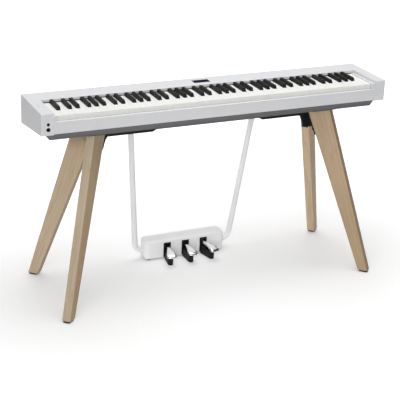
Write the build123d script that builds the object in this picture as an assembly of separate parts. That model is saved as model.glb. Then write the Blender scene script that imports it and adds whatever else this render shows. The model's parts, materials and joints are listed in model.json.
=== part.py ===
from build123d import *
import os
from math import sin, cos, tan, atan2, radians, degrees, hypot

os.makedirs("parts", exist_ok=True)

# ---------------------------------------------------------------------------
# Slim 88-key digital piano on a four-legged timber stand with a three-pedal
# unit.  Millimetres, +Z up, +Y towards the rear of the instrument, +X to the
# player's right.  Origin: floor level, middle of the stand's footprint.
# ---------------------------------------------------------------------------

# ---- instrument body -------------------------------------------------------
# heights of body and keys are written for a body standing 4 mm higher; all of
# them are lowered by this amount when the pieces are written out
body_drop = 4.0
body_w = 1340.0            # over the two end blocks
body_d = 242.0             # front face to rear face
body_y = -15.6             # middle of the body, forward of the stand's middle
z_top = 752.0              # flat top of panel and end blocks
z_front_low = 678.0        # lower edge of the body at the front
z_rear_low = 650.0         # lower edge of the body at the rear
cheek_in = 625.0           # inner wall of each end block, from the middle
panel_front = 19.6         # front edge of the top panel
panel_t = 4.0
wall = 4.0
slip_t = 9.8               # thickness of the key slip (front rail)
slip_top = 721.0
tray_front = -103.6
tray_low = 646.0           # underside of the tray
tray_half_low = 631.0      # tray half width at its bottom
tray_half_top = 646.0
tray_flare_z = 666.0
tray_rim = 678.0
tray_t = 3.0

# ---- keyboard --------------------------------------------------------------
n_white = 52
pitch = 23.6               # white key pitch
key_gap = 0.8              # between white and black keys
white_gap = 0.5            # between white keys
key_top = 739.0
key_low = 722.0
key_skirt_low = 716.0
key_front = -124.6
key_rear = 88.0
black_w = 13.2             # black key width at its foot
black_w_top = 10.6
black_top = 751.0
black_front = -70.6
black_rear = 18.4          # end of the raised part, just before the panel
pivot_y, pivot_z = 82.4, 728.5
pivot_d = 5.0
pivot_clear = 0.06         # radial running clearance of the keys on the rod

# ---- stand -----------------------------------------------------------------
foot_x, foot_y = 604.7, 208.55      # leg centre line at the foot
leg_lean = 229.2                    # inward run of the leg over its height
stand_top = tray_low - body_drop    # the stand carries the tray here
leg_base, leg_ref = 2.0, 646.0      # heights between which the lean is measured
leg_z0, leg_z1 = 7.5, stand_top - 5.0
leg_w_top, leg_w_low = 91.7, 40.3   # board width, horizontal, top and foot
leg_t = 33.6
leg_round = 5.0
arm_in, arm_out = 207.0, 407.0      # bracket arm, along X
arm_half, arm_low = 20.0, 602.0
plate_low = 531.0                   # lower end of the leg plates
beam_half, beam_low, beam_top = 15.0, 607.0, 640.0

# ---- pedal unit ------------------------------------------------------------
tube_d, tube_wall = 22.0, 1.6
house_half, house_f, house_r = 169.0, 158.4, 224.4
house_low, house_top = 8.0, 82.0
house_wall = 3.0
pedal_pitch = 77.5
pedal_fan = (-8.5, 0.0, 12.0)       # degrees, outer pedals turned outwards
pedal_back = 50.0                   # pivot to the housing's front face
pedal_pivot_z = 50.0
axle_d = 6.0

y_f = body_y - body_d / 2           # -136.6
y_r = body_y + body_d / 2           # +105.4
half = body_w / 2


# ---- helpers ---------------------------------------------------------------
def bx(x0, x1, y0, y1, z0, z1):
    return Pos((x0 + x1) / 2, (y0 + y1) / 2, (z0 + z1) / 2) * Box(abs(x1 - x0), abs(y1 - y0), abs(z1 - z0))


def poly(pts, direction):
    """Prism: closed 3-D polygon pushed along a vector."""
    face = Face(Wire.make_polygon([Vector(*p) for p in pts], close=True))
    return Solid.extrude(face, Vector(*direction))


def prism_x(yz, x0, x1):
    return poly([(x0, y, z) for y, z in yz], (x1 - x0, 0, 0))


def prism_y(xz, y0, y1):
    return poly([(x, y0, z) for x, z in xz], (0, y1 - y0, 0))


def cyl(p, direction, r, h):
    """Cylinder from point p along a direction."""
    pl = Plane(origin=p, z_dir=direction)
    return pl * Cylinder(r, h, align=(Align.CENTER, Align.CENTER, Align.MIN))


def solids_of(shape):
    if isinstance(shape, (list, tuple)):
        out = []
        for s in shape:
            out += solids_of(s)
        return out
    return list(shape.solids())


drop = body_drop


def save(name, shape):
    ss = [Pos(0, 0, -drop) * s for s in solids_of(shape)] if drop else solids_of(shape)
    obj = ss[0] if len(ss) == 1 else Compound(children=ss)
    obj.label = name
    export_step(obj, f"parts/{name}.step")


def mx(shape):
    return mirror(shape, about=Plane.YZ)


def my(shape):
    return mirror(shape, about=Plane.XZ)


def long_edges(shape, n):
    return sorted(shape.edges(), key=lambda e: -e.length)[:n]


# ---------------------------------------------------------------------------
# KEYS
# ---------------------------------------------------------------------------
names = "A0 As0 B0".split()
for o in range(1, 8):
    names += [f"{n}{o}" for n in "C Cs D Ds E F Fs G Gs A As B".split()]
names += ["C8"]

black_shift = {"Cs": -2.6, "Ds": 2.6, "Fs": -3.6, "Gs": 0.0, "As": 3.6}
x_left = -n_white * pitch / 2
white_i = 0
white_x, black_x = {}, {}
order = []
for nm in names:
    if "s" in nm:
        black_x[nm] = x_left + white_i * pitch + black_shift[nm[:2]]
    else:
        white_x[nm] = x_left + (white_i + 0.5) * pitch
        white_i += 1
    order.append(nm)

bore_r = pivot_d / 2 + pivot_clear
notch_half = black_w / 2 + key_gap


def white_key(nm):
    xc = white_x[nm]
    hw = (pitch - white_gap) / 2
    # head and stick in one side profile, tail stepped down under the panel
    yz = [(key_front, key_skirt_low), (key_front, key_top), (panel_front + 3.0, key_top),
          (panel_front + 7.0, 735.0), (key_rear, 735.0), (key_rear, key_low),
          (-96.0, key_low), (-99.0, key_skirt_low)]
    k = prism_x(yz, xc - hw, xc + hw)
    top = [e for e in k.edges() if abs(e.center().Z - key_top) < 0.01 and e.center().Y < panel_front]
    k = fillet(top, 0.7)
    front = [e for e in k.edges() if abs(e.center().Y - key_front) < 0.6 and abs(e.tangent_at(0.5).Z) > 0.98]
    if front:
        k = fillet(front, 0.3)
    i = order.index(nm)
    for j in (i - 1, i + 1):
        if 0 <= j < len(order) and "s" in order[j]:
            bxc = black_x[order[j]]
            if j < i:
                cut = bx(xc - hw - 5, bxc + notch_half, black_front - key_gap, key_rear + 5, 700, 760)
            else:
                cut = bx(bxc - notch_half, xc + hw + 5, black_front - key_gap, key_rear + 5, 700, 760)
            k = k - cut
    return k - cyl((xc - 40, pivot_y, pivot_z), (1, 0, 0), bore_r, 80)


def black_key_proto():
    hb, ht = black_w / 2, black_w_top / 2
    low = Face(Wire.make_polygon([Vector(-hb, black_front, 739), Vector(hb, black_front, 739), Vector(hb, black_rear, 739), Vector(-hb, black_rear, 739)], close=True))
    up = Face(Wire.make_polygon([Vector(-ht, black_front + 6.5, black_top), Vector(ht, black_front + 6.5, black_top), Vector(ht, black_rear, black_top), Vector(-ht, black_rear, black_top)], close=True))
    head = Solid.make_loft([low.outer_wire(), up.outer_wire()], ruled=True)
    es = [e for e in head.edges() if e.center().Z > 740 and e.center().Y < black_rear - 0.5]
    head = fillet(es, 1.3)
    stick = bx(-hb, hb, black_front, black_rear, key_low, 739) + bx(-hb, hb, black_rear, key_rear, key_low, 735)
    k = stick + head
    return k - cyl((-40, pivot_y, pivot_z), (1, 0, 0), bore_r, 80)


proto = black_key_proto()
key_solids = {}
for nm in order:
    key_solids[nm] = Pos(black_x[nm], 0, 0) * proto if "s" in nm else white_key(nm)

# one octave, C4 to C5, is made of separately named keys
solo = order[order.index("C4"):order.index("C5") + 1]
for nm in solo:
    save(f"key_{nm}", key_solids[nm])
lo = order[:order.index("C4")]
hi = order[order.index("C5") + 1:]
save("bass_white_keys", [key_solids[n] for n in lo if "s" not in n])
save("bass_black_keys", [key_solids[n] for n in lo if "s" in n])
save("treble_white_keys", [key_solids[n] for n in hi if "s" not in n])
save("treble_black_keys", [key_solids[n] for n in hi if "s" in n])

save("key_pivot_rod", cyl((-621.5, pivot_y, pivot_z), (1, 0, 0), pivot_d / 2, 1243))

# ---------------------------------------------------------------------------
# KEY BED, FELTS, SENSOR STRIP
# ---------------------------------------------------------------------------
screw_xy = [(sx * x, y) for sx in (-1, 1) for x in (150.0, 596.0) for y in (-84.0, 88.0)]
bed = bx(-624.6, 624.6, y_f + slip_t, 101.2, tray_rim, tray_rim + 4)
bed += bx(-622, 622, -121, -96, 682, 703) - bx(-640, 640, -118, -99, 681, 700)
bed += bx(-622, 622, -32, 10, 682, 712) - bx(-640, 640, -29, 7, 681, 709)
bed += bx(-621.5, 621.5, 76, 94, 682, 719) - bx(-640, 640, 79, 91, 681, 716)
for s in (-1, 1):
    bed += bx(s * 614.6, s * 621.5, 76, 94, 700, 735)
bed -= cyl((-640, pivot_y, pivot_z), (1, 0, 0), pivot_d / 2 + 0.05, 1280)
for x, y in screw_xy:
    bed -= cyl((x, y, 670), (0, 0, 1), 2.2, 20)
save("key_bed", bed)

save("key_stop_felt", bx(-612, 612, -118, -99, 703, 705.4))
save("red_key_felt", bx(-612.6, 612.6, panel_front, panel_front + 4.0, 739.6, 742.6))
save("key_sensor_board", bx(-610, 610, -30, 8, 712, 713.6))
save("key_contact_strip", prism_x([(-20, 713.6), (-17.5, 716.3), (-4.5, 716.3), (-2, 713.6)], -606, 606))

# ---------------------------------------------------------------------------
# CASE
# ---------------------------------------------------------------------------
# headphone sockets in the left end block
jack_x = -644.8
jack_big_z, jack_big_d, jack_big_bore = 695.5, 14.5, 6.5
jack_small_z, jack_small_d, jack_small_bore = 713.8, 11.2, 3.6
# pitch wheel in the left end block
wheel_x, wheel_y, wheel_z, wheel_r, wheel_t = -648.0, -52.6, 723.0, 31.5, 8.0


def low_edge(y):
    return z_front_low + (z_rear_low - z_front_low) * (y - y_f) / body_d


def end_block(left):
    """Modelled on the right, mirrored for the left."""
    prof = [(y_f, z_front_low - 2.8), (y_f, z_top), (panel_front - 0.2, z_top), (panel_front - 0.2, z_top - panel_t),
            (y_r, z_top - panel_t), (y_r, z_rear_low - 2.8)]
    b = prism_x(prof, cheek_in, half)
    out = [e for e in b.edges() if abs(e.center().X - half) < 0.01 and abs(e.center().Z - z_top) < 0.01]
    out += [e for e in b.edges() if abs(e.center().Y - y_f) < 0.01 and abs(e.center().Z - z_top) < 0.01]
    out += [e for e in b.edges() if abs(e.center().Y - y_f) < 0.01 and abs(e.center().X - half) < 0.01]
    b = fillet(out, 2.0)
    cav = prism_x([(y_f + wall + 0.6, low_edge(y_f + wall) + 4), (y_f + wall + 0.6, 735.0), (y_r - wall, 735.0),
                   (y_r - wall, low_edge(y_r - wall) + 4)], cheek_in - 5, half - wall)
    b -= cav
    b -= bx(cheek_in - 5, 650, tray_front - 2, y_r + 5, 640, tray_rim + 0.5)
    # narrow ledge beside the last key
    b += bx(615.0, cheek_in + 2, y_f + slip_t + 0.2, panel_front - 0.2, 722, 741)
    b += bx(cheek_in, cheek_in + 3, y_f + slip_t + 0.2, panel_front - 0.2, 722, 743)
    b += bx(615.0, cheek_in + 2, y_f + slip_t + 0.2, -112.0, 706, 723)
    b += bx(615.0, cheek_in + 2, y_f + 1.0, y_f + slip_t + 1.0, slip_top + 0.3, 741)
    if left:
        b = mx(b)
        b -= cyl((jack_x, y_f - 5, jack_big_z), (0, 1, 0), jack_big_d / 2, 15)
        b -= cyl((jack_x, y_f - 5, jack_small_z), (0, 1, 0), jack_small_d / 2, 15)
        # opening and two bearing ribs for the pitch wheel
        b -= cyl((wheel_x - wheel_t / 2 - 0.8, wheel_y, wheel_z), (1, 0, 0), wheel_r + 0.8, wheel_t + 1.6)
        b -= bx(wheel_x - wheel_t / 2 - 0.8, wheel_x + wheel_t / 2 + 0.8, wheel_y - 20, wheel_y + 20, 747, 760)
        for s in (-1, 1):
            xa = wheel_x + s * (wheel_t / 2 + 1.6)
            rib = bx(xa, xa + s * 3.0, wheel_y - 8, wheel_y + 8, 714, 736)
            b += rib
        b -= cyl((wheel_x - 12, wheel_y, wheel_z), (1, 0, 0), 3.05, 24)
    return b


save("left_end_block", end_block(True))
save("right_end_block", end_block(False))

# pitch wheel with stub axles and a finger notch
wheel = cyl((wheel_x - wheel_t / 2, wheel_y, wheel_z), (1, 0, 0), wheel_r, wheel_t)
wheel = fillet(wheel.edges(), 1.0)
wheel -= cyl((wheel_x - 10, wheel_y, wheel_z + wheel_r + 6.0), (1, 0, 0), 8.5, 20)
wheel += cyl((wheel_x - wheel_t / 2 - 5.0, wheel_y, wheel_z), (1, 0, 0), 3.0, wheel_t + 10.0)
save("pitch_wheel", wheel)


def jack(z, d, bore, depth):
    s = cyl((jack_x, y_f + 0.2, z), (0, 1, 0), d / 2 - 0.25, depth)
    s += bx(jack_x - d / 2 - 1.2, jack_x + d / 2 + 1.2, y_f + 6.0, y_f + depth + 4, z - d / 2 - 1.0, z + d / 2 + 1.0)
    return s - cyl((jack_x, y_f - 1, z), (0, 1, 0), bore / 2, depth - 1)


save("headphone_jacks", [jack(jack_big_z, jack_big_d, jack_big_bore, 32.0), jack(jack_small_z, jack_small_d, jack_small_bore, 18.0)])

# key slip, a bevelled rail in front of the keys
slip = prism_x([(y_f, z_front_low), (y_f, slip_top - 1.2), (y_f + 1.2, slip_top), (y_f + slip_t - 2.0, slip_top),
                (y_f + slip_t, slip_top - 3.0), (y_f + slip_t, z_front_low)], -cheek_in + 0.2, cheek_in - 0.2)
save("key_slip", slip)

# top panel with openings for display, power button and pilot strip
disp = (-33.0, 31.8, 45.0, 79.0)
btn_x, btn_y, btn_l, btn_w = -593.5, 72.4, 21.0, 6.4
patch_x, patch_y, patch_l, patch_w = 109.0, 65.0, 46.0, 17.0


def pill(xc, yc, l, w, z0, z1):
    sk = Pos(xc, yc, z0) * SlotOverall(l, w)
    return extrude(sk, amount=z1 - z0)


panel = bx(-half, half, panel_front, y_r, z_top - panel_t, z_top)
pe = [e for e in panel.edges() if abs(e.center().Z - z_top) < 0.01]
panel = fillet(pe, 1.6)
panel += bx(-cheek_in + 0.4, cheek_in - 0.4, panel_front, panel_front + 4.0, 742.6, z_top - panel_t)
panel -= bx(disp[0], disp[1], disp[2], disp[3], 740, 760)
panel -= pill(btn_x, btn_y, btn_l + 1.0, btn_w + 1.0, 740, 760)
panel -= pill(patch_x, patch_y, patch_l, patch_w, z_top - 1.2, 760)
save("top_panel", panel)

win = bx(disp[0] + 0.2, disp[1] - 0.2, disp[2] + 0.2, disp[3] - 0.2, z_top - panel_t - 0.5, z_top - 0.15)
win += bx(disp[0] - 5, disp[1] + 5, disp[2] - 4, disp[3] + 4, z_top - panel_t - 3.5, z_top - panel_t)
save("display_window", win)
save("pilot_light_strip", pill(patch_x, patch_y, patch_l - 0.3, patch_w - 0.3, z_top - 1.2, z_top - 0.05))

btn = pill(btn_x, btn_y, btn_l, btn_w, 744.4, z_top + 0.9)
be = [e for e in btn.edges() if abs(e.center().Z - (z_top + 0.9)) < 0.01]
btn = fillet(be, 0.6)
btn += pill(btn_x, btn_y, btn_l + 5, btn_w + 4, 744.4, z_top - panel_t - 0.1)
save("power_button", btn)

pb = bx(-612, 150, 44, 92, 738.4, 740.0)
pb += bx(btn_x - 3, btn_x + 3, btn_y - 3, btn_y + 3, 740.0, 742.6)
for x in (-560, -300, -60, 90):
    pb += cyl((x, 50, 740.0), (0, 0, 1), 3.0, z_top - panel_t - 740.0)

# rear panel between the end blocks, with vents and a hole for the power inlet
rear = bx(-cheek_in + 0.3, cheek_in - 0.3, y_r - wall, y_r, tray_rim + 0.3, z_top - panel_t)
for s in (-1, 1):
    for i in range(6):
        zc = 695.0 + i * 8.0
        rear -= bx(s * 565 - 45, s * 565 + 45, y_r - 10, y_r + 5, zc, zc + 4.0)
dc_x, dc_z, dc_r, dc_bore = -120.0, 706.0, 5.6, 2.8
rear -= cyl((dc_x, y_r - 15, dc_z), (0, 1, 0), dc_r, 30)
save("rear_panel", rear)

# power inlet behind the rear panel
inlet = cyl((dc_x, y_r - 10, dc_z), (0, 1, 0), dc_r - 0.2, 9.5)
inlet += bx(dc_x - 8, dc_x + 8, y_r - 10, y_r - wall - 0.2, dc_z - 8, dc_z + 8)
save("power_inlet", inlet - cyl((dc_x, y_r - 8.5, dc_z), (0, 1, 0), dc_bore, 30))

# grey tray under the case
arm_screws = [(s * x, 0.0) for s in (-1, 1) for x in (240.0, 350.0)]
flange_x, flange_y = 257.0, 72.0
flange_screws = [(s * (flange_x + d), flange_y) for s in (-1, 1) for d in (-20.0, 20.0)]


def tub(inset, z0, z1, y0, y1):
    return prism_y([(-tray_half_low + inset, z0), (tray_half_low - inset, z0), (tray_half_top - inset, tray_flare_z),
                    (tray_half_top - inset, z1), (-tray_half_top + inset, z1), (-tray_half_top + inset, tray_flare_z)], y0, y1)


tray = tub(0, tray_low, tray_rim, tray_front, y_r)
ce = [e for e in tray.edges() if abs(e.center().Z - tray_low) < 0.01 and abs(e.center().Y - tray_front) < 0.01]
tray = fillet(ce, 2.0)
tray -= tub(tray_t, tray_low + tray_t, tray_rim + 5, tray_front + tray_t, y_r - tray_t)
for x, y in screw_xy:
    tray += cyl((x, y, tray_low + 1), (0, 0, 1), 6.0, tray_rim - tray_low - 1)
for x, y in arm_screws + flange_screws:
    tray += cyl((x, y, tray_low + 1), (0, 0, 1), 8.0, 12.0)
for sx in (-1, 1):
    for y in (-30, 50):
        tray += cyl((sx * 130, y, tray_low + 1), (0, 0, 1), 4.0, 13.0)
for x, y in screw_xy:
    tray -= cyl((x, y, 636), (0, 0, 1), 2.2, 54)
    tray -= cyl((x, y, 636), (0, 0, 1), 4.4, 13)
for x, y in arm_screws + flange_screws:
    tray -= cyl((x, y, 636), (0, 0, 1), 3.2, 30)
for s in (-1, 1):
    for i in range(9):
        y0 = -36 + i * 11.0
        tray -= bx(s * 565 - 40, s * 565 + 40, y0, y0 + 5, 636, 652)
save("bottom_tray", tray)


def screw(x, y, z, d, length, head_d, head_h):
    """Head downwards at z, shank upwards."""
    s = cyl((x, y, z), (0, 0, 1), head_d / 2, head_h)
    s = fillet([e for e in s.edges() if abs(e.center().Z - z) < 0.01], head_h * 0.3)
    s += cyl((x, y, z + head_h - 0.5), (0, 0, 1), d / 2, length + 0.5)
    return s - Pos(x, y, z) * extrude(RegularPolygon(head_d * 0.27, 6), amount=head_h * 0.55)


case_screws = [screw(x, y, tray_low + 0.3, 4.0, 35.0, 8.0, 2.4) for x, y in screw_xy]

# speakers, lying in the tray over the lower vents
spk = []
for s in (-1, 1):
    d = revolve(Plane.XZ * make_face(Polyline((0, 653.0), (0, 677.0), (23, 677.0), (23, 667.0), (46, 656.5), (52, 656.0), (52, 653.0), (46, 653.0), (20, 660.0), (0, 661.0), close=True)), Axis.Z)
    spk.append(Pos(s * 540, 8, tray_low - z_rear_low) * d)
save("speaker_drivers", spk)

mb = bx(-140, 140, -40, 60, 660, 661.6)
mb += bx(-60, -20, -10, 30, 661.6, 664) + bx(20, 50, 0, 30, 661.6, 664) + bx(-120, -90, 30, 55, 661.6, 672)
mb += cyl((90, 20, 661.6), (0, 0, 1), 6, 12) + cyl((110, 20, 661.6), (0, 0, 1), 6, 12)
save("circuit_boards", [pb, mb])

# ---------------------------------------------------------------------------
# STAND
# ---------------------------------------------------------------------------
q = 0.70710678
case_screws = [Pos(0, 0, -drop) * c for c in case_screws]
drop = 0.0


def leg_pt(s, n, z):
    """Point of the rear right leg: s outwards on the diagonal, n across it."""
    return (foot_x + q * s + q * n, foot_y + q * s - q * n, z)


def leg_mid(z):
    return -leg_lean * (z - leg_base) / (leg_ref - leg_base)


def leg_width(z):
    return leg_w_low + (leg_w_top - leg_w_low) * (z - leg_base) / (leg_ref - leg_base)


def s_in(z):
    return leg_mid(z) - leg_width(z) / 2


def s_out(z):
    return leg_mid(z) + leg_width(z) / 2


def leg_prism(sz, n0, n1):
    return poly([leg_pt(s, n0, z) for s, z in sz], (q * (n1 - n0), -q * (n1 - n0), 0))


leg_raw = leg_prism([(s_in(leg_z0), leg_z0), (s_out(leg_z0), leg_z0), (s_out(leg_z1), leg_z1), (s_in(leg_z1), leg_z1)], -leg_t / 2, leg_t / 2)
leg = fillet(long_edges(leg_raw, 4), leg_round)

# bolts through the bracket plates, square to the leg's inner edge
slope = (s_in(leg_z1) - s_in(leg_z0)) / (leg_z1 - leg_z0)
nl = hypot(1.0, slope)
bolt_dir_sz = (1.0 / nl, -slope / nl)                # into the leg
bolt_dir = (q * bolt_dir_sz[0], q * bolt_dir_sz[0], bolt_dir_sz[1])
plate_t = 5.0
bolt_z = (588.0, 552.0)


def on_edge(z, off):
    """Point off the leg's inner edge by a distance, square to it."""
    return leg_pt(s_in(z) - bolt_dir_sz[0] * off, 0, z - bolt_dir_sz[1] * off)


bolts = []
leg_cut = leg
plate = leg_prism([(s_in(leg_z1 + 2) - 0.0, leg_z1 + 2), (s_in(plate_low), plate_low),
                   (s_in(plate_low) - plate_t * bolt_dir_sz[0], plate_low - plate_t * bolt_dir_sz[1]),
                   (s_in(leg_z1 + 2) - plate_t * nl, leg_z1 + 2)], -12.5, 12.5)
for z in bolt_z:
    b = cyl(on_edge(z, plate_t + 4.5), bolt_dir, 6.5, 4.5)
    b -= Plane(origin=on_edge(z, plate_t + 4.5), z_dir=bolt_dir) * extrude(RegularPolygon(3.0, 6), amount=2.6)
    b += cyl(on_edge(z, plate_t + 0.3), bolt_dir, 4.0, 38.0)
    bolts.append(b)
    leg_cut = leg_cut - cyl(on_edge(z, 1.0), bolt_dir, 4.2, 36.0)
    plate = plate - cyl(on_edge(z, plate_t + 2.0), bolt_dir, 4.3, 12.0)

legs = {"rear_right_leg": leg_cut, "rear_left_leg": mx(leg_cut), "front_right_leg": my(leg_cut), "front_left_leg": mx(my(leg_cut))}
for n, s in legs.items():
    save(n, s)
allb = []
for b in bolts:
    allb += [b, mx(b), my(b), mx(my(b))]
save("leg_bolts", allb)

# foot glides
g = poly([leg_pt(s, n, 0.0) for s, n in ((-17.5, -14.5), (17.5, -14.5), (17.5, 14.5), (-17.5, 14.5))], (0, 0, leg_z0))
g = fillet([e for e in g.edges() if abs(e.tangent_at(0.5).Z) > 0.9], 8.0)
g = fillet([e for e in g.edges() if e.center().Z < 0.01], 2.0)
save("foot_glides", [g, mx(g), my(g), mx(my(g))])

# black stand bracket: channel arm, top plate, leg plates and web
arm = prism_y([(arm_in, stand_top), (arm_out, stand_top), (arm_out, arm_low), (arm_in + 13, arm_low), (arm_in, arm_low + 7)], -arm_half, arm_half)
arm -= bx(arm_in + 4, arm_out - 4, -arm_half + 4, arm_half - 4, arm_low - 5, stand_top - 5)
arm -= bx(0, 230, -beam_half - 0.2, beam_half + 0.2, beam_low - 0.2, beam_top + 0.2)
bracket = arm + bx(392, 490, -92, 92, stand_top - 5, stand_top)
bracket += prism_y([(400, stand_top - 4), (450, stand_top - 4), (450, 552), (405, 554)], -5.0, 5.0)
# gusset under the arm with a hollow-curved free edge
bracket += prism_y([(378, arm_low + 4), (450, arm_low + 4), (450, 546.5), (404.5, 549.5), (401, 563), (397.5, 577), (393.5, 587), (388, 596), (383, 601.5)], -5.0, 5.0)
bracket += plate
bracket += my(plate)
bracket -= leg_raw
bracket -= my(leg_raw)
for x, y in arm_screws:
    if x > 0:
        bracket -= cyl((x, y, 630), (0, 0, 1), 3.2, 20)
save("right_stand_bracket", bracket)
save("left_stand_bracket", mx(bracket))

# square tube that ties the two brackets together, pushed into their arms
beam = bx(-228, 228, -beam_half, beam_half, beam_low, beam_top)
beam = fillet([e for e in beam.edges() if abs(e.tangent_at(0.5).X) > 0.9], 3.0)
beam -= bx(-240, 240, -beam_half + 2, beam_half - 2, beam_low + 2, beam_top - 2)
save("cross_beam", beam)

# timber block in the fork between the front and rear leg of each side
block = bx(452, 478, -80, 80, 595, stand_top - 5) - leg_raw - my(leg_raw)
block = min(block.solids(), key=lambda b: abs(b.center().Y))
save("leg_blocks", [block, mx(block)])

# ---------------------------------------------------------------------------
# PEDAL UNIT
# ---------------------------------------------------------------------------
tube_y0, tube_z0 = 190.9, 32.0
path_pts = [(150.0, tube_y0, tube_z0), (200.0, tube_y0, tube_z0), (250.6, 125.1, 571.0), (257.6, 62.0, 656.0)]
path = FilletPolyline(*path_pts, radius=[46.0, 60.0])


def tube_along(r0):
    sec = Plane(origin=path_pts[0], x_dir=(0, 1, 0), z_dir=(1, 0, 0)) * Circle(r0)
    return sweep(sec, path=path)


tube = tube_along(tube_d / 2) - tube_along(tube_d / 2 - tube_wall)
tube -= bx(150, 350, 0, 150, stand_top - 5, 700)
save("right_pedal_tube", tube)
save("left_pedal_tube", mx(tube))

fl = bx(flange_x - 29, flange_x + 29, flange_y - 20, flange_y + 20, stand_top - 5, stand_top)
fl = fillet([e for e in fl.edges() if abs(e.tangent_at(0.5).Z) > 0.9], 8.0)
for d in (-20.0, 20.0):
    fl -= cyl((flange_x + d, flange_y, 630), (0, 0, 1), 3.2, 20)
save("tube_flanges", [fl, mx(fl)])

save("underside_screws", case_screws + [screw(x, y, stand_top - 9.2, 6.0, 15.0, 11.0, 4.2) for x, y in arm_screws + flange_screws])

# pedal housing, a moulded cover open underneath
def rounded_box(hx, y0, y1, z0, z1, rv, rt):
    b = bx(-hx, hx, y0, y1, z0, z1)
    b = fillet([e for e in b.edges() if abs(e.tangent_at(0.5).Z) > 0.9], rv)
    if rt:
        b = fillet([e for e in b.edges() if abs(e.center().Z - z1) < 0.01], rt)
    return b


house = rounded_box(house_half, house_f, house_r, house_low, house_top, 18.0, 10.0)
house -= rounded_box(house_half - house_wall, house_f + house_wall, house_r - house_wall, house_low - 5, house_top - house_wall, 15.0, 7.0)
pedal_x = (-pedal_pitch, 0.0, pedal_pitch)
for x in pedal_x:
    house -= bx(x - 15.3, x + 15.3, house_f - 5, house_f + house_wall + 3, house_low - 2, 68.3)
tube_room = tube_along(tube_d / 2 + 0.3)
house = house - tube_room - mx(tube_room)
save("pedal_housing", house)

base = bx(-house_half + 4, house_half - 4, house_f + 6.8, house_r - house_wall - 0.4, house_low, house_low + 4)
base = fillet([e for e in base.edges() if abs(e.tangent_at(0.5).Z) > 0.9], 16.0)
for s in (-1, 1):
    base += bx(s * 153, s * 164, tube_y0 - 10, tube_y0 + 10, house_low + 3, tube_z0 - tube_d / 2 - 0.2)


def pedal_frame(k):
    """Local frame of pedal k: X across, Y backwards, Z up, origin on the floor under the pivot."""
    a = pedal_fan[k]
    fx, fy = sin(radians(a)), -cos(radians(a))
    px, py = pedal_x[k] - fx * pedal_back, house_f - fy * pedal_back
    return Location((px, py, 0), (0, 0, a))


def side(uz, n0, n1):
    """Prism in a pedal's local frame; u forwards from the pivot, so local y = -u."""
    return poly([(n0, -u, z) for u, z in uz], (n1 - n0, 0, 0))


# lever and pad, pressed metal, with a deep rib under the neck
right_line = Polyline((6.5, 8.0), (6.5, -60.0))
curve = Spline([(6.5, -60.0), (8.3, -80.0), (12.0, -96.0), (15.8, -108.0), (18.7, -118.5), (19.8, -128.0), (17.4, -136.4), (10.2, -141.0), (0.0, -142.2)], tangents=[(0, -1), (-1, 0)])
left_curve = mirror(curve, about=Plane.YZ)
left_line = mirror(right_line, about=Plane.YZ)
back = Line((6.5, 8.0), (-6.5, 8.0))
plan = make_face([back, right_line, curve, left_curve, left_line])
lever = extrude(plan, amount=70)
if lever.bounding_box().max.Z < 1:
    lever = extrude(plan, amount=-70)
lever = lever & side([(-8, 42.5), (-8, 57), (50, 57), (104, 54.6), (119, 52.0), (132, 48.0), (142.8, 43.4), (142.8, 40.2), (136, 37.8), (128, 38.4), (117, 41.2), (60, 43.4)], -25, 25)
for r in (2.0, 1.6, 1.2, 0.8):
    try:
        te = [e for e in lever.edges() if e.center().Y < -58 and e.center().Z > 43.6 and abs(e.tangent_at(0.5).Z) < 0.6 and abs(e.center().X) > 2.0]
        lever = fillet(te, r)
        print("pad rounding", r)
        break
    except Exception as ex:
        print("pad rounding left out", r)
lever += side([(40, 44), (92, 44), (92, 21), (82, 17), (47, 17), (40, 24)], -5.0, 5.0)
lever -= cyl((-20, 0, pedal_pivot_z), (1, 0, 0), axle_d / 2 + 0.06, 40)

names_p = ("soft_pedal", "sostenuto_pedal", "damper_pedal")
guides, axles, springs = [], [], []
for k in range(3):
    loc = pedal_frame(k)
    save(names_p[k], loc * lever)
    # black guide: surround in the housing's slot and a channel foot under the pedal
    sx = pedal_x[k]
    surround = bx(sx - 15.0, sx + 15.0, house_f - 1.6, house_f + 6.2, house_low + 0.3, 68.0)
    chan = side([(48, 0), (120, 0), (120, 26.8), (48, 36)], -10.5, 10.5)
    chan = chan & (bx(-10.5, 10.5, -108, -40, -1, 60) + cyl((0, -108, -1), (0, 0, 1), 10.5, 61))
    chan -= side([(30, 3), (104.5, 3), (104.5, 45), (30, 45)], -7.6, 7.6)
    gd = surround - loc * bx(-8.2, 8.2, -80, 0, 3, 63)
    gd += loc * chan
    # lower rear end of the channel is cut off square in front of the base plate
    gd -= bx(sx - 60, sx + 60, house_f + 6.2, house_f + 60, -1, 70)
    guides.append(gd)
    for x0, x1 in ((-12.0, -8.4), (16.4, 20.0)):
        base += loc * bx(x0, x1, -8, 8, house_low + 3, 58)
    base -= loc * cyl((-30, 0, pedal_pivot_z), (1, 0, 0), axle_d / 2 + 0.05, 60)
    axles.append(loc * cyl((-13.5, 0, pedal_pivot_z), (1, 0, 0), axle_d / 2, 35.0))
    coil = make_face(Polyline((3.4, 0), (5.0, 0), (5.6, 0.8), (5.0, 1.6), (5.6, 2.4), (5.0, 3.2), (5.6, 4.0), (5.0, 4.8), (5.6, 5.6), (5.0, 6.4), (5.6, 7.2), (5.0, 8.0), (3.4, 8.0), close=True))
    ring = revolve(Plane.XZ * coil, Axis.Z)
    springs.append(loc * (Plane(origin=(7.4, 0, pedal_pivot_z), z_dir=(1, 0, 0)) * ring))
save("pedal_base", base)
save("pedal_guides", guides)
save("pedal_axles", axles)
save("pedal_springs", springs)
save("base_pads", [cyl((sx * 148, y, 0), (0, 0, 1), 9.0, house_low) for sx in (-1, 1) for y in (house_f + 18.6, house_f + 50.6)])
print(len(os.listdir("parts")), "nodes")
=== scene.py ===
import json
import math
import bpy
import bmesh
from mathutils import Matrix, Vector


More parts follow.
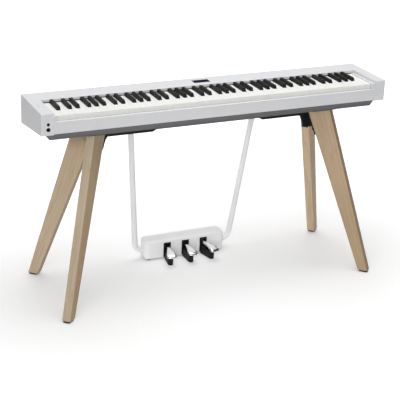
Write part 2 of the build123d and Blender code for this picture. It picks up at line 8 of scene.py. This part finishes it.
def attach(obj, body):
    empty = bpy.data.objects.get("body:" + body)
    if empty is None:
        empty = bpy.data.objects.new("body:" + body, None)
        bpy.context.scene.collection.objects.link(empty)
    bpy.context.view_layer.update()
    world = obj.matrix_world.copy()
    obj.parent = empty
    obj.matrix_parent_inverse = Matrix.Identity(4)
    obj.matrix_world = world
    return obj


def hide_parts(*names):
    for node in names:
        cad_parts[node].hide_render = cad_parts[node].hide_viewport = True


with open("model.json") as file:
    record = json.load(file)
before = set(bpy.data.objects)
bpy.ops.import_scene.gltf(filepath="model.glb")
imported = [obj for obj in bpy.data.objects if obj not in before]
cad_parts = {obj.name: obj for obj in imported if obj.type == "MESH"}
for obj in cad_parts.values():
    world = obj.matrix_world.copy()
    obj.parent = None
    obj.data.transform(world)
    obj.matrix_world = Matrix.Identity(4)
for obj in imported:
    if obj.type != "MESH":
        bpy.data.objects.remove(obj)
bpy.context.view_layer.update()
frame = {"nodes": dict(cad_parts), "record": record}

NODES = frame["nodes"]
ROOT = "piano_and_stand"
scene = bpy.context.scene


# ---------------------------------------------------------------------------
# camera: same viewpoint and framing as the reference view (square image)
# ---------------------------------------------------------------------------
def make_camera():
    az, el, roll = math.radians(-24.71867), math.radians(22.15298), math.radians(2.06597)
    right = Vector((math.cos(az), math.sin(az), 0))
    back = Vector((math.sin(az) * math.cos(el), -math.cos(az) * math.cos(el), math.sin(el)))
    up = back.cross(right)
    xa = math.cos(roll) * right + math.sin(roll) * up
    ya = -math.sin(roll) * right + math.cos(roll) * up
    m = Matrix(((xa.x, ya.x, back.x, -1.74397), (xa.y, ya.y, back.y, -3.75497),
                (xa.z, ya.z, back.z, 1.98458), (0, 0, 0, 1)))
    cam = bpy.data.cameras.new("camera")
    cam.lens, cam.sensor_width, cam.sensor_fit = 106.5796, 36.0, "HORIZONTAL"
    cam.clip_end = 100
    ob = bpy.data.objects.new("camera", cam)
    scene.collection.objects.link(ob)
    ob.matrix_world = m
    scene.camera = ob


make_camera()


# ---------------------------------------------------------------------------
# shader helpers
# ---------------------------------------------------------------------------
class Mat:
    def __init__(self, name):
        self.m = bpy.data.materials.new(name)
        self.m.use_nodes = True
        self.nt = self.m.node_tree
        self.nt.nodes.clear()
        self.out = self.nt.nodes.new("ShaderNodeOutputMaterial")
        self.b = self.nt.nodes.new("ShaderNodeBsdfPrincipled")
        self.nt.links.new(self.b.outputs[0], self.out.inputs[0])
        self.tc = self.nt.nodes.new("ShaderNodeTexCoord")

    def link(self, a, b):
        self.nt.links.new(a, b)

    def set(self, **kw):
        for k, v in kw.items():
            s = self.b.inputs[k.replace("_", " ")]
            if isinstance(v, bpy.types.NodeSocket):
                self.link(v, s)
            else:
                s.default_value = v
        return self

    def obj(self):
        return self.tc.outputs["Object"]

    def scaled(self, v, s):
        n = self.nt.nodes.new("ShaderNodeVectorMath")
        n.operation = "MULTIPLY"
        self.link(v, n.inputs[0])
        n.inputs[1].default_value = s
        return n.outputs[0]

    def dot(self, v, axis):
        n = self.nt.nodes.new("ShaderNodeVectorMath")
        n.operation = "DOT_PRODUCT"
        self.link(v, n.inputs[0])
        n.inputs[1].default_value = axis
        return n.outputs["Value"]

    def combine(self, x, y, z):
        n = self.nt.nodes.new("ShaderNodeCombineXYZ")
        for i, s in enumerate((x, y, z)):
            if isinstance(s, bpy.types.NodeSocket):
                self.link(s, n.inputs[i])
            else:
                n.inputs[i].default_value = s
        return n.outputs[0]

    def noise(self, v, scale, detail=3.0, rough=0.5, dist=0.0):
        n = self.nt.nodes.new("ShaderNodeTexNoise")
        self.link(v, n.inputs["Vector"])
        n.inputs["Scale"].default_value = scale
        n.inputs["Detail"].default_value = detail
        n.inputs["Roughness"].default_value = rough
        n.inputs["Distortion"].default_value = dist
        return n.outputs["Fac"]

    def voronoi(self, v, scale, feature="F1", rand=1.0):
        n = self.nt.nodes.new("ShaderNodeTexVoronoi")
        n.feature = feature
        self.link(v, n.inputs["Vector"])
        n.inputs["Scale"].default_value = scale
        n.inputs["Randomness"].default_value = rand
        return n.outputs["Distance"]

    def math(self, op, a, b=None, c=None, clamp=False):
        n = self.nt.nodes.new("ShaderNodeMath")
        n.operation, n.use_clamp = op, clamp
        for i, s in enumerate((a, b, c)):
            if s is None:
                continue
            if isinstance(s, bpy.types.NodeSocket):
                self.link(s, n.inputs[i])
            else:
                n.inputs[i].default_value = s
        return n.outputs[0]

    def remap(self, v, a, b, c, d, smooth=False):
        n = self.nt.nodes.new("ShaderNodeMapRange")
        n.interpolation_type = "SMOOTHSTEP" if smooth else "LINEAR"
        self.link(v, n.inputs["Value"])
        for k, x in zip(("From Min", "From Max", "To Min", "To Max"), (a, b, c, d)):
            n.inputs[k].default_value = x
        return n.outputs["Result"]

    def ramp(self, fac, stops, interp="LINEAR"):
        n = self.nt.nodes.new("ShaderNodeValToRGB")
        n.color_ramp.interpolation = interp
        e = n.color_ramp.elements
        while len(e) < len(stops):
            e.new(0.5)
        for i, (p, c) in enumerate(stops):
            e[i].position = p
            e[i].color = (*c, 1.0)
        self.link(fac, n.inputs[0])
        return n.outputs["Color"]

    def mix(self, fac, a, b, mode="MIX"):
        n = self.nt.nodes.new("ShaderNodeMix")
        n.data_type, n.blend_type = "RGBA", mode
        for key, s in ((0, fac), (6, a), (7, b)):
            if isinstance(s, bpy.types.NodeSocket):
                self.link(s, n.inputs[key])
            elif key == 0:
                n.inputs[key].default_value = s
            else:
                n.inputs[key].default_value = (*s, 1.0)
        return n.outputs[2]

    def bump(self, height, strength, dist, normal=None):
        n = self.nt.nodes.new("ShaderNodeBump")
        n.inputs["Strength"].default_value = strength
        n.inputs["Distance"].default_value = dist
        self.link(height, n.inputs["Height"])
        if normal is not None:
            self.link(normal, n.inputs["Normal"])
        return n.outputs[0]

    def island(self):
        n = self.nt.nodes.new("ShaderNodeNewGeometry")
        return n.outputs["Random Per Island"]

    def normal(self):
        n = self.nt.nodes.new("ShaderNodeNewGeometry")
        return n.outputs["Normal"]


def plastic(name, light, dark, rough, grain=1500.0, bump=0.00004, spec=0.5, bands=None):
    """Moulded plastic: cloudy tone, fine spark-eroded texture, faint handling marks, optional painted light and shade
    in bands by height.
    """
    k = Mat(name)
    v = k.obj()
    cloud = k.noise(v, 5.0, 4.0, 0.55)
    col = k.ramp(cloud, [(0.3, dark), (0.7, light)])
    if bands:
        # painted light and shade by height: the colour is multiplied by a ramp over height, parts below 1 as painted
        # shade, parts above 1 as painted light
        h = k.math("ADD", k.dot(v, (0.0, 0.0, 1.0)), k.math("MULTIPLY", k.noise(v, 40.0, 3.0), 0.001))
        h = k.remap(h, bands[0], bands[1], 0.0, 1.0)
        col = k.mix(1.0, col, k.ramp(h, bands[2]), "MULTIPLY")
    fine = k.noise(v, grain, 2.0, 0.6)
    smear = k.noise(k.scaled(v, (1.0, 3.0, 2.0)), 18.0, 5.0, 0.65)
    r = k.remap(smear, 0.3, 0.7, rough - 0.05, rough + 0.07)
    k.set(Base_Color=col, Roughness=r, Specular_IOR_Level=spec)
    k.set(Normal=k.bump(fine, 0.35, bump))
    return k.m


def build_materials():
    M = {}
    M["case_white"] = plastic("case_white", (0.708, 0.711, 0.724), (0.688, 0.692, 0.706), 0.40)
    M["housing_white"] = plastic("housing_white", (0.95, 0.952, 0.955), (0.925, 0.928, 0.933), 0.42, grain=1100.0)
    # tray: painted shade just under the slip and along the lower edge of its front, painted light across the middle
    M["tray_grey"] = plastic("tray_grey", (0.156, 0.158, 0.161), (0.138, 0.140, 0.144), 0.5, grain=900.0, bump=0.00008,
                             bands=(0.6415, 0.6755, [(0.0, (0.72, 0.72, 0.72)), (0.22, (0.9, 0.9, 0.9)), (0.5, (1.08, 1.08, 1.08)), (0.78, (0.9, 0.9, 0.9)), (1.0, (0.62, 0.62, 0.62))]))
    M["black_plastic"] = plastic("black_plastic", (0.009, 0.009, 0.010), (0.005, 0.005, 0.006), 0.50, grain=1000.0, bump=0.00008, spec=0.22)

    # warm white key plastic: soft lengthwise streaks, each key a hair different
    k = Mat("key_ivory")
    v = k.obj()
    streak = k.noise(k.scaled(v, (900.0, 22.0, 900.0)), 1.0, 4.0, 0.6)
    broad = k.noise(k.scaled(v, (60.0, 8.0, 60.0)), 1.0, 3.0, 0.5)
    tone = k.math("ADD", k.math("MULTIPLY", streak, 0.35), k.math("MULTIPLY", broad, 0.35))
    tone = k.math("ADD", tone, k.math("MULTIPLY", k.island(), 0.15))
    col = k.ramp(tone, [(0.2, (0.822, 0.819, 0.782)), (0.42, (0.850, 0.847, 0.814)), (0.65, (0.872, 0.870, 0.840))])
    k.set(Base_Color=col, Roughness=k.remap(streak, 0.3, 0.7, 0.26, 0.40), Specular_IOR_Level=0.5)
    k.set(Normal=k.bump(streak, 0.12, 0.00006))
    M["key_ivory"] = k.m

    # black keys: matt, fine open grain along the key
    k = Mat("key_black")
    v = k.obj()
    grain = k.noise(k.scaled(v, (1500.0, 30.0, 1500.0)), 1.0, 5.0, 0.65)
    spot = k.noise(v, 900.0, 2.0, 0.5)
    tone = k.math("ADD", k.math("MULTIPLY", grain, 0.6), k.math("MULTIPLY", k.island(), 0.4))
    col = k.ramp(tone, [(0.25, (0.003, 0.003, 0.0034)), (0.55, (0.007, 0.007, 0.0074)), (0.8, (0.026, 0.026, 0.027))])
    k.set(Base_Color=col, Roughness=k.remap(grain, 0.25, 0.75, 0.42, 0.62), Specular_IOR_Level=0.3)
    k.set(Normal=k.bump(spot, 0.12, 0.00004, k.bump(grain, 0.25, 0.00008)))
    M["key_black"] = k.m

    # powder coats with orange peel
    for name, a, b, rough in (("black_steel", (0.004, 0.004, 0.0045), (0.008, 0.008, 0.0085), 0.50),
                              ("white_steel", (0.87, 0.872, 0.874), (0.90, 0.902, 0.903), 0.36)):
        k = Mat(name)
        v = k.obj()
        peel = k.noise(v, 420.0, 2.0, 0.45)
        speck = k.voronoi(v, 1500.0)
        col = k.ramp(k.noise(v, 9.0, 3.0), [(0.3, a), (0.7, b)])
        k.set(Base_Color=col, Roughness=k.remap(peel, 0.3, 0.7, rough - 0.06, rough + 0.08))
        k.set(Specular_IOR_Level=0.22 if name == "black_steel" else 0.5)
        k.set(Normal=k.bump(speck, 0.08, 0.00003, k.bump(peel, 0.2, 0.00012)))
        M[name] = k.m

    # plating on the pedals: polished with a faint lengthwise haze and finger marks
    k = Mat("pedal_chrome")
    v = k.obj()
    haze = k.noise(k.scaled(v, (700.0, 40.0, 200.0)), 1.0, 4.0, 0.6)
    mark = k.noise(v, 55.0, 5.0, 0.7)
    r = k.math("ADD", k.remap(haze, 0.3, 0.7, 0.10, 0.18), k.remap(mark, 0.55, 0.75, 0.0, 0.12))
    col = k.ramp(mark, [(0.3, (0.87, 0.875, 0.88)), (0.8, (0.79, 0.79, 0.785))])
    k.set(Base_Color=col, Metallic=1.0, Roughness=r)
    k.set(Normal=k.bump(haze, 0.05, 0.00002))
    M["pedal_chrome"] = k.m

    k = Mat("bright_steel")
    v = k.obj()
    br = k.noise(k.scaled(v, (40.0, 900.0, 900.0)), 1.0, 3.0, 0.6)
    k.set(Base_Color=k.ramp(br, [(0.3, (0.50, 0.50, 0.50)), (0.7, (0.64, 0.64, 0.63))]), Metallic=1.0,
          Roughness=k.remap(br, 0.3, 0.7, 0.2, 0.38))
    k.set(Normal=k.bump(br, 0.1, 0.00003))
    M["bright_steel"] = k.m

    k = Mat("black_rubber")
    v = k.obj()
    n = k.noise(v, 700.0, 4.0, 0.7)
    k.set(Base_Color=k.ramp(n, [(0.3, (0.005, 0.005, 0.005)), (0.7, (0.011, 0.011, 0.0105))]), Roughness=k.remap(n, 0.3, 0.7, 0.7, 0.9), Specular_IOR_Level=0.2)
    k.set(Normal=k.bump(n, 0.35, 0.0001))
    M["black_rubber"] = k.m

    for name, a, b in (("red_felt", (0.022, 0.002, 0.006), (0.048, 0.004, 0.011)), ("grey_felt", (0.16, 0.16, 0.16), (0.3, 0.3, 0.3))):
        k = Mat(name)
        v = k.obj()
        n = k.noise(v, 1400.0, 5.0, 0.75, 0.8)
        k.set(Base_Color=k.ramp(n, [(0.25, a), (0.75, b)]), Roughness=0.95, Sheen_Weight=0.5, Sheen_Roughness=0.5)
        k.set(Normal=k.bump(n, 0.7, 0.0004))
        M[name] = k.m

    k = Mat("circuit_board")
    v = k.obj()
    n = k.voronoi(v, 220.0)
    k.set(Base_Color=k.ramp(n, [(0.1, (0.02, 0.11, 0.05)), (0.6, (0.03, 0.17, 0.08))]), Roughness=k.remap(n, 0.0, 0.8, 0.3, 0.5))
    M["circuit_board"] = k.m

    k = Mat("display_glass")
    v = k.obj()
    n = k.noise(v, 60.0, 4.0, 0.6)
    k.set(Base_Color=k.ramp(n, [(0.3, (0.006, 0.007, 0.022)), (0.7, (0.010, 0.011, 0.030))]), Roughness=k.remap(n, 0.3, 0.7, 0.08, 0.16))
    M["display_glass"] = k.m

    k = Mat("pilot_lens")
    v = k.obj()
    n = k.noise(k.scaled(v, (120.0, 300.0, 300.0)), 1.0, 3.0)
    col = k.ramp(n, [(0.3, (0.56, 0.68, 0.72)), (0.7, (0.64, 0.74, 0.77))])
    k.set(Base_Color=col, Roughness=k.remap(n, 0.3, 0.7, 0.25, 0.35), Emission_Color=col, Emission_Strength=0.12)
    M["pilot_lens"] = k.m
    return M


def ash_wood(name, along, across, thick, seed, shade=1.0, painted_face_tints=None, length=None):
    """Pale timber with the grain along a given direction: cathedral bands, fibres, pores; optional painted light and
    shade by face direction and by height.
    """
    k = Mat(name)
    p = k.obj()
    u, v, w = k.dot(p, along), k.dot(p, across), k.dot(p, thick)
    u = k.math("ADD", u, seed * 3.7)
    # slow wander of the grain
    bend = k.noise(k.combine(k.math("MULTIPLY", u, 1.6), k.math("MULTIPLY", v, 5.0), k.math("MULTIPLY", w, 5.0)), 1.0, 2.0, 0.5)
    vv = k.math("ADD", v, k.math("MULTIPLY", bend, 0.05))
    ww = k.math("ADD", w, k.math("MULTIPLY", bend, 0.03))
    # growth bands
    rad = k.math("ADD", k.math("MULTIPLY", vv, 62.0), k.math("MULTIPLY", ww, 45.0))
    rad = k.math("ADD", rad, k.math("MULTIPLY", k.noise(k.combine(k.math("MULTIPLY", u, 2.2), k.math("MULTIPLY", v, 70.0), k.math("MULTIPLY", w, 70.0)), 1.0, 2.0, 0.5), 2.6))
    band = k.math("FRACT", k.math("ADD", rad, k.math("MULTIPLY", u, 1.2)))
    band = k.math("POWER", band, 2.2)
    # fibres and pores
    fibre = k.noise(k.combine(k.math("MULTIPLY", u, 9.0), k.math("MULTIPLY", vv, 620.0), k.math("MULTIPLY", ww, 620.0)), 1.0, 4.0, 0.65)
    pore = k.noise(k.combine(k.math("MULTIPLY", u, 55.0), k.math("MULTIPLY", vv, 1500.0), k.math("MULTIPLY", ww, 1500.0)), 1.0, 2.0, 0.5)
    pore = k.remap(pore, 0.60, 0.72, 0.0, 1.0, True)
    pore = k.math("MULTIPLY", pore, k.remap(band, 0.2, 0.9, 0.25, 1.0))
    cloud = k.noise(k.combine(k.math("MULTIPLY", u, 3.0), k.math("MULTIPLY", v, 9.0), k.math("MULTIPLY", w, 9.0)), 1.0, 3.0, 0.5)
    tone = k.math("ADD", k.math("MULTIPLY", band, 0.22), k.math("MULTIPLY", fibre, 0.46))
    tone = k.math("ADD", tone, k.math("MULTIPLY", cloud, 0.32))
    col = k.ramp(tone, [(a, tuple(shade * c for c in t)) for a, t in ((0.22, (0.550, 0.420, 0.283)), (0.42, (0.507, 0.378, 0.246)), (0.62, (0.460, 0.331, 0.205)), (0.85, (0.400, 0.275, 0.160)))])
    col = k.mix(k.math("MULTIPLY", pore, 0.40), col, (0.24, 0.165, 0.095))
    if painted_face_tints:
        # painted light and shade by face direction: faces turned toward +x -y take the second tint as painted shade,
        # the other faces take the first tint, which brightens some legs as painted light
        side = k.remap(k.dot(k.normal(), (0.7071, -0.7071, 0.0)), 0.55, 0.88, 0.0, 1.0, True)
        col = k.mix(side, k.mix(1.0, col, painted_face_tints[0], "MULTIPLY"), k.mix(1.0, col, painted_face_tints[1], "MULTIPLY"))
    if length:
        # painted shade and light by height: each leg darkened just under the tray, with its own lighter and darker
        # zones further down
        col = k.mix(1.0, col, k.ramp(k.math("MULTIPLY", k.dot(p, (0.0, 0.0, 1.0)), 1.0 / 0.65), [(a / 0.65, t) for a, t in length]), "MULTIPLY")
    rough = k.math("ADD", k.remap(fibre, 0.3, 0.7, 0.44, 0.58), k.math("MULTIPLY", pore, 0.15))
    k.set(Base_Color=col, Roughness=rough, Specular_IOR_Level=0.4)
    h = k.math("SUBTRACT", k.math("MULTIPLY", fibre, 0.5), pore)
    k.set(Normal=k.bump(h, 0.25, 0.00012))
    return k.m


MATS = build_materials()


def paint(node, mat):
    me = NODES[node].data
    if len(me.materials):
        for i in range(len(me.materials)):
            me.materials[i] = mat
    else:
        me.materials.append(mat)


SLOT_OF = {s["node"]: s["material_slot"] for s in frame["record"]["subparts"]}
for n in NODES:
    s = SLOT_OF.get(n)
    if s in MATS:
        paint(n, MATS[s])
paint("pedal_housing", MATS["housing_white"])

# legs: grain runs down each leg
lean = math.atan2(229.2, 644.0)
# per leg: node, x side, y side, overall tone (partly timber variation, partly painted light and shade), face tints
# (painted light, then painted shade on faces toward +x -y), tone by height (painted shade under the tray, painted
# light and shade lower down)
LEGS = (
    ("rear_right_leg", 1, 1, 1.04, ((1.06, 1.07, 1.08), (0.87, 0.82, 0.71)), None),
    ("rear_left_leg", -1, 1, 1.10, ((1.0, 1.0, 1.0), (0.66, 0.59, 0.48)),
     ((0.0, (1.0, 1.05, 1.10)), (0.42, (1.0, 1.05, 1.11)), (0.53, (0.98, 0.98, 1.0)), (0.567, (0.88, 0.88, 0.88)), (0.606, (0.65, 0.65, 0.65)), (0.65, (0.61, 0.61, 0.61)))),
    ("front_right_leg", 1, -1, 0.97, ((1.0, 1.0, 1.0), (0.66, 0.59, 0.48)),
     ((0.0, (0.88, 0.85, 0.77)), (0.22, (0.89, 0.86, 0.78)), (0.36, (0.97, 0.94, 0.91)), (0.65, (0.99, 0.97, 0.96)))),
    ("front_left_leg", -1, -1, 1.0, ((1.07, 1.17, 1.27), (0.85, 0.79, 0.68)),
     ((0.0, (0.95, 0.93, 0.92)), (0.2, (0.95, 0.93, 0.92)), (0.42, (1.0, 1.0, 1.0)), (0.615, (1.0, 1.0, 1.0)), (0.65, (0.85, 0.85, 0.85)))),
)
for i, (n, sx, sy, shade, painted_face_tints, length) in enumerate(LEGS):
    q = math.sqrt(0.5)
    d = Vector((sx * q, sy * q, 0))
    z = Vector((0, 0, 1))
    along = (z * math.cos(lean) - d * math.sin(lean)).normalized()
    thick = d.cross(z).normalized()
    across = thick.cross(along).normalized()
    paint(n, ash_wood("ash_wood_" + n, along, across, thick, i + 1, shade, painted_face_tints, length))


# blocks between the legs: wood darkened to 0.60 as painted shade under the tray
paint("leg_blocks", ash_wood("ash_wood_blocks_painted_shade", Vector((0, 1, 0)), Vector((0, 0, 1)), Vector((1, 0, 0)), 7, 0.60))


# ---------------------------------------------------------------------------
# mesh helpers
# ---------------------------------------------------------------------------
def new_mesh(name, verts, faces, mat, body, smooth=True):
    me = bpy.data.meshes.new(name)
    me.from_pydata([tuple(v) for v in verts], [], faces)
    me.validate()
    bm = bmesh.new()
    bm.from_mesh(me)
    bmesh.ops.remove_doubles(bm, verts=bm.verts, dist=1e-7)
    bmesh.ops.recalc_face_normals(bm, faces=bm.faces)
    bm.to_mesh(me)
    bm.free()
    me.materials.append(mat)
    if smooth:
        for p in me.polygons:
            p.use_smooth = True
    ob = bpy.data.objects.new(name, me)
    scene.collection.objects.link(ob)
    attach(ob, body)
    return ob


def loft(rings, cap=True):
    """Closed rings of equal length joined into a skin."""
    n = len(rings[0])
    verts, faces = [], []
    for r in rings:
        verts += r
    for i in range(len(rings) - 1):
        a, b = i * n, (i + 1) * n
        for j in range(n):
            k = (j + 1) % n
            faces.append((a + j, a + k, b + k, b + j))
    if cap:
        faces.append(tuple(reversed(range(n))))
        faces.append(tuple(range((len(rings) - 1) * n, len(rings) * n)))
    return verts, faces


def smooth_table(t, x):
    """Monotone cubic through a table of points."""
    n = len(t)
    if x <= t[0][0]:
        return t[0][1]
    if x >= t[-1][0]:
        return t[-1][1]
    h = [t[i + 1][0] - t[i][0] for i in range(n - 1)]
    d = [(t[i + 1][1] - t[i][1]) / h[i] for i in range(n - 1)]
    m = [d[0]] + [0.0 if d[i - 1] * d[i] <= 0 else 2 * d[i - 1] * d[i] / (d[i - 1] + d[i]) for i in range(1, n - 1)] + [d[-1]]
    for i in range(n - 1):
        if x <= t[i + 1][0]:
            u = (x - t[i][0]) / h[i]
            return ((2 * u ** 3 - 3 * u ** 2 + 1) * t[i][1] + (u ** 3 - 2 * u ** 2 + u) * h[i] * m[i]
                    + (-2 * u ** 3 + 3 * u ** 2) * t[i + 1][1] + (u ** 3 - u ** 2) * h[i] * m[i + 1])


# ---------------------------------------------------------------------------
# pedals: plated levers that swell into a crowned, round-nosed pad, on a black keel
# (lengths in mm from the pedal axle, heights above the floor)
# ---------------------------------------------------------------------------
PAD_TOP = [(-8, 57.0), (50, 57.0), (75, 56.1), (95, 55.1), (104, 54.4), (112, 53.1), (119, 51.8), (126, 49.9), (132, 47.7), (136.5, 45.4), (139.8, 43.3), (142.1, 41.4)]
PAD_LOW = [(-8, 42.5), (50, 43.6), (75, 43.0), (100, 42.0), (117, 41.2), (123, 39.8), (129, 38.5), (135.5, 38.0), (139.5, 38.9), (142.1, 40.4)]
PAD_HALF = [(-8, 6.5), (60, 6.5), (70, 7.2), (80, 8.3), (88, 10.0), (96, 12.0), (104, 14.4), (111, 16.7), (118.5, 18.7), (124, 19.6), (128.5, 19.8), (132.5, 19.0), (136.4, 16.8), (139.4, 12.9), (141.2, 8.2), (141.9, 4.2), (142.1, 1.6)]
PAD_U = [-8, 0, 20, 40, 50, 56, 62, 68, 74, 80, 85, 90, 95, 100, 104, 108, 112, 116, 119, 122, 125, 128, 130.5, 133, 135, 137, 138.6, 140, 141, 141.6, 142.1]


def pedal_place(k):
    a = math.radians((-8.5, 0.0, 12.0)[k])
    f = Vector((math.sin(a), -math.cos(a), 0))
    n = Vector((math.cos(a), math.sin(a), 0))
    o = Vector(((k - 1) * 77.5, 158.4, 0)) - 50.0 * f
    return lambda u, v, z: (o + f * u + n * v + Vector((0, 0, z))) / 1000.0


def make_pedals():
    for k, body in enumerate(("soft_pedal", "sostenuto_pedal", "damper_pedal")):
        at = pedal_place(k)
        rings = []
        for u in PAD_U:
            w, zt, zb = smooth_table(PAD_HALF, u), smooth_table(PAD_TOP, u), smooth_table(PAD_LOW, u)
            f = max(0.0, min(1.0, (w - 6.5) / 12.0)) if u < 124 else 1.0
            zm = zb + (0.5 - 0.08 * f) * (zt - zb)
            pn, pz = 0.42 + 0.26 * f, 0.42 + 0.16 * f
            ring = []
            for j in range(44):
                t = 2 * math.pi * j / 44
                c, q = math.cos(t), math.sin(t)
                v = w * math.copysign(abs(c) ** pn, c)
                z = zm + (zt - zm if q > 0 else zm - zb) * math.copysign(abs(q) ** pz, q)
                ring.append(at(u, v, z))
            rings.append(ring)
        verts, faces = loft(rings)
        lever = new_mesh(body + "_lever", verts, faces, MATS["pedal_chrome"], body)
        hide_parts(body)
        # keel that runs in the guide under the lever
        side = [(40, 44.5), (92, 44.5), (92, 21.5), (90.5, 19.4), (82, 17), (47, 17), (44.5, 18.5), (40, 24)]
        verts = [at(u, -5.0, z) for u, z in side] + [at(u, 5.0, z) for u, z in side]
        m = len(side)
        faces = [tuple(range(m)), tuple(reversed(range(m, 2 * m)))] + [(i, i + m, (i + 1) % m + m, (i + 1) % m) for i in range(m)]
        keel = new_mesh(body + "_keel", verts, faces, MATS["black_plastic"], body, smooth=False)
        bm = bmesh.new()
        bm.from_mesh(keel.data)
        bmesh.ops.bevel(bm, geom=bm.edges[:], offset=0.0009, segments=2, affect="EDGES", profile=0.6)
        bm.to_mesh(keel.data)
        bm.free()


make_pedals()


# ---------------------------------------------------------------------------
# floor and light
# ---------------------------------------------------------------------------
def floor_plane(name, shown):
    me = bpy.data.meshes.new(name)
    s = 40.0
    me.from_pydata([(-s, -s, 0), (s, -s, 0), (s, s, 0), (-s, s, 0)], [], [(0, 1, 2, 3)])
    k = Mat(name)
    n = k.noise(k.obj(), 1.2, 3.0)
    d = k.nt.nodes.new("ShaderNodeVectorMath")
    d.operation = "LENGTH"
    k.link(k.scaled(k.obj(), (0.72, 1.0, 0.0)), d.inputs[0])
    # glow strength: the floor glows as painted light, weakest close to the object and rising outward, so the ground
    # round it reads darker as painted shade (on floor_bounce, hidden from the camera, the same glow only lights the
    # scene)
    lit = k.remap(d.outputs["Value"], 0.45, 1.9, 0.27, 0.72, True)
    if shown:
        lit = k.math("MAXIMUM", lit, k.remap(d.outputs["Value"], 2.5, 8.0, 0.0, 0.97, True))
    else:
        # the bounce comes from a wedge behind the object and from far out
        pos = k.obj()
        away = k.dot(pos, (0.418, 0.908, 0.0))
        side = k.math("SUBTRACT", k.math("ABSOLUTE", k.dot(pos, (0.908, -0.418, 0.0))), k.math("MULTIPLY", away, 0.17))
        lit = k.math("MULTIPLY", lit, k.remap(side, 0.85, 1.5, 1.0, 0.15, True))
        lit = k.math("MULTIPLY", lit, k.remap(away, -1.5, -0.95, 0.15, 1.0, True))
        lit = k.math("MAXIMUM", lit, k.remap(d.outputs["Value"], 2.8, 5.0, 0.0, 0.55, True))
    k.set(Base_Color=k.ramp(n, [(0.3, (0.80, 0.80, 0.80)), (0.7, (0.815, 0.815, 0.815))]), Roughness=0.75,
          Emission_Color=(1, 1, 1, 1), Emission_Strength=lit, Specular_IOR_Level=0.2)
    me.materials.append(k.m)
    ob = bpy.data.objects.new(name, me)
    ob.location.z = -0.0004 if shown else -0.0008
    scene.collection.objects.link(ob)
    return ob


def make_stage():
    """Pale floor that runs out into an evenly lit white backdrop."""
    bounce = floor_plane("floor_bounce", False)
    bounce.visible_camera = False
    floor = floor_plane("floor", True)
    # white studio wall all round, a seamless sweep
    rings = []
    for r, z in ((30.0, -0.2), (30.0, 2.0), (29.0, 8.0), (26.0, 15.0), (19.0, 22.0), (9.0, 26.0), (0.5, 27.0)):
        rings.append([(r * math.cos(2 * math.pi * i / 64), r * math.sin(2 * math.pi * i / 64), z) for i in range(64)])
    verts, faces = loft(rings, cap=False)
    me = bpy.data.meshes.new("backdrop")
    me.from_pydata(verts, [], faces)
    k = Mat("backdrop")
    n = k.noise(k.obj(), 0.05, 2.0)
    k.set(Base_Color=(0.8, 0.8, 0.8, 1.0), Roughness=0.9, Emission_Color=(1, 1, 1, 1), Emission_Strength=k.remap(n, 0.3, 0.7, 0.92, 1.0))
    me.materials.append(k.m)
    wall = bpy.data.objects.new("backdrop", me)
    scene.collection.objects.link(wall)
    for ob in (floor, wall):
        ob.visible_diffuse = ob.visible_glossy = ob.visible_transmission = ob.visible_volume_scatter = ob.visible_shadow = False


def area(name, loc, target, size, power, color=(1, 1, 1)):
    li = bpy.data.lights.new(name, "AREA")
    li.shape, li.size, li.size_y, li.energy, li.color = "RECTANGLE", size[0], size[1], power, color
    ob = bpy.data.objects.new(name, li)
    ob.location = loc
    d = Vector(target) - Vector(loc)
    ob.rotation_euler = d.to_track_quat("-Z", "Y").to_euler()
    ob.visible_camera = False
    scene.collection.objects.link(ob)
    return ob


def make_light():
    w = bpy.data.worlds.new("world")
    w.use_nodes = True
    bg = w.node_tree.nodes["Background"]
    bg.inputs[0].default_value = (1.0, 1.0, 1.0, 1.0)
    bg.inputs[1].default_value = 0.055
    scene.world = w
    area("overhead", (0.15, -0.2, 3.8), (0.05, 0, 0.4), (3.2, 3.0), 118.0)
    area("fill", (-7.4, -9.4, 4.1), (0, 0, 0.4), (6.0, 6.0), 590.0)
    area("back", (0.3, 4.5, 5.2), (0, 0, 0.3), (7.5, 4.8), 92.0)
    area("right", (5.5, 2.5, 1.6), (0, 0, 0.3), (6.0, 3.0), 28.0)
    sp = bpy.data.lights.new("pedal_spot", "SPOT")
    sp.energy, sp.spot_size, sp.spot_blend, sp.shadow_soft_size = 55.0, math.radians(15.0), 1.0, 0.25
    ob = bpy.data.objects.new("pedal_spot", sp)
    ob.location = (-0.9, -2.7, 1.7)
    ob.rotation_euler = (Vector((0.0, 0.12, 0.06)) - Vector(ob.location)).to_track_quat("-Z", "Y").to_euler()
    scene.collection.objects.link(ob)


make_stage()
make_light()
scene.view_settings.view_transform = "Standard"
scene.view_settings.look = "None"
scene.view_settings.exposure = 0.0
scene.view_settings.gamma = 1.0
